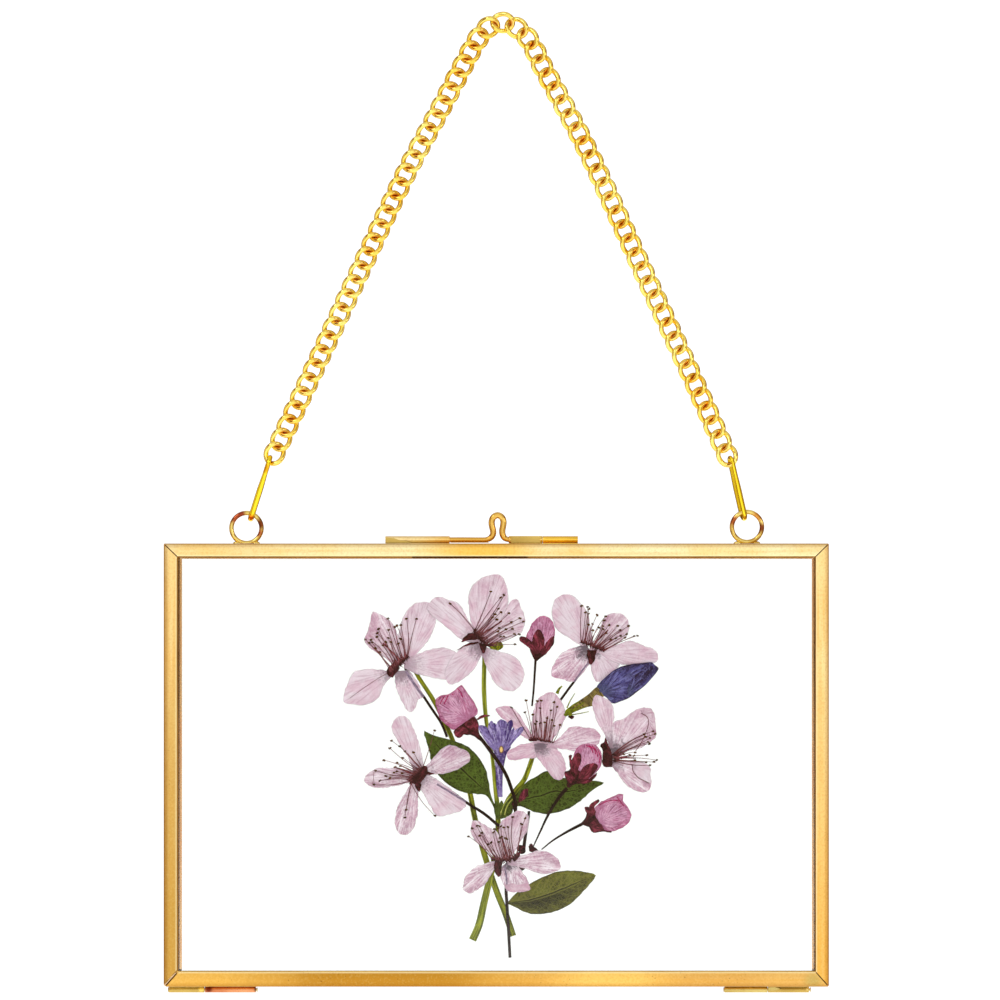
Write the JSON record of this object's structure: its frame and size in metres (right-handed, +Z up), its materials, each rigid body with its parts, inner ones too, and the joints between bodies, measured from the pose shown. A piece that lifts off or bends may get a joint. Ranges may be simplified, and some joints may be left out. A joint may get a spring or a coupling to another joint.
{
  "type": "pressed flower frame",
  "caption": "Hanging brass picture frame whose two hinged glass halves hold a dried bouquet of pink blossoms, with a chain and a sliding latch pin.",
  "frame": {"origin": "the underside of the chain at its top, where a nail or hook carries the frame", "axes": "+Z up, -Y towards the viewer in front of the glass, +X to the viewer's right"},
  "size_m": [0.158, 0.0083, 0.2333],
  "materials": {
    "brass": "satin, lightly tarnished",
    "reddish_brass": "satin, darkened",
    "gold_plate": "polished gold plate",
    "glass": "clear, flat",
    "pink_petals": "dry, thin, translucent petals",
    "pink_bud": "dry bud with dark calyx",
    "blue_bud": "dry, deep violet blue",
    "violet_petals": "dry, matt",
    "leaf_green": "dry leaf with fine veins",
    "green_stem": "dry, flattened",
    "dark_stem": "dry, flattened"
  },
  "bodies": {
    "back_frame": {"back_bottom_bar": "brass", "back_glass": "glass", "back_left_bar": "brass", "back_right_bar": "brass", "back_top_bar": "brass", "blossom_bottom": "pink_petals", "blossom_centre": "pink_petals", "blossom_left": "pink_petals", "blossom_right": "pink_petals", "blossom_top": "pink_petals", "blossom_upper_left": "pink_petals", "blossom_upper_right": "pink_petals", "bud_blue": "blue_bud", "bud_pink_centre": "pink_bud", "bud_pink_left": "pink_bud", "bud_pink_right": "pink_bud", "bud_top": "pink_bud", "chain_left": "gold_plate", "chain_right": "gold_plate", "latch_left_tube": "brass", "latch_middle_tube": "brass", "leaf_bottom": "leaf_green", "leaf_centre": "leaf_green", "leaf_left": "leaf_green", "left_hinge_back_knuckle": "reddish_brass", "left_hinge_pin": "reddish_brass", "left_long_link": "gold_plate", "left_ring": "brass", "right_hinge_back_knuckle": "reddish_brass", "right_hinge_pin": "reddish_brass", "right_long_link": "gold_plate", "right_ring": "brass", "stem_dark_centre": "dark_stem", "stem_dark_left": "dark_stem", "stem_dark_low_centre": "dark_stem", "stem_dark_low_right": "dark_stem", "stem_dark_short": "dark_stem", "stem_dark_top": "dark_stem", "stem_dark_upper_left": "dark_stem", "stem_dark_upper_right": "dark_stem", "stem_green_centre": "green_stem", "stem_green_left": "green_stem", "stem_green_right": "green_stem", "violet_flower": "violet_petals"},
    "front_frame": {"front_bottom_bar": "brass", "front_glass": "glass", "front_left_bar": "brass", "front_right_bar": "brass", "front_top_bar": "brass", "latch_right_tube": "brass", "left_hinge_front_knuckle": "reddish_brass", "right_hinge_front_knuckle": "reddish_brass"},
    "latch": {"latch_pin": "brass"}
  },
  "joints": [
    {"name": "frame_hinge", "type": "hinge", "parent": "back_frame", "child": "front_frame", "pos_m": [0, 0, -0.22805], "axis": [1, 0, 0], "range_deg": [0, 180]},
    {"name": "latch_slide", "type": "slide", "parent": "back_frame", "child": "latch", "axis": [-1, 0, 0], "range_m": [0, 0.0087]}
  ]
}
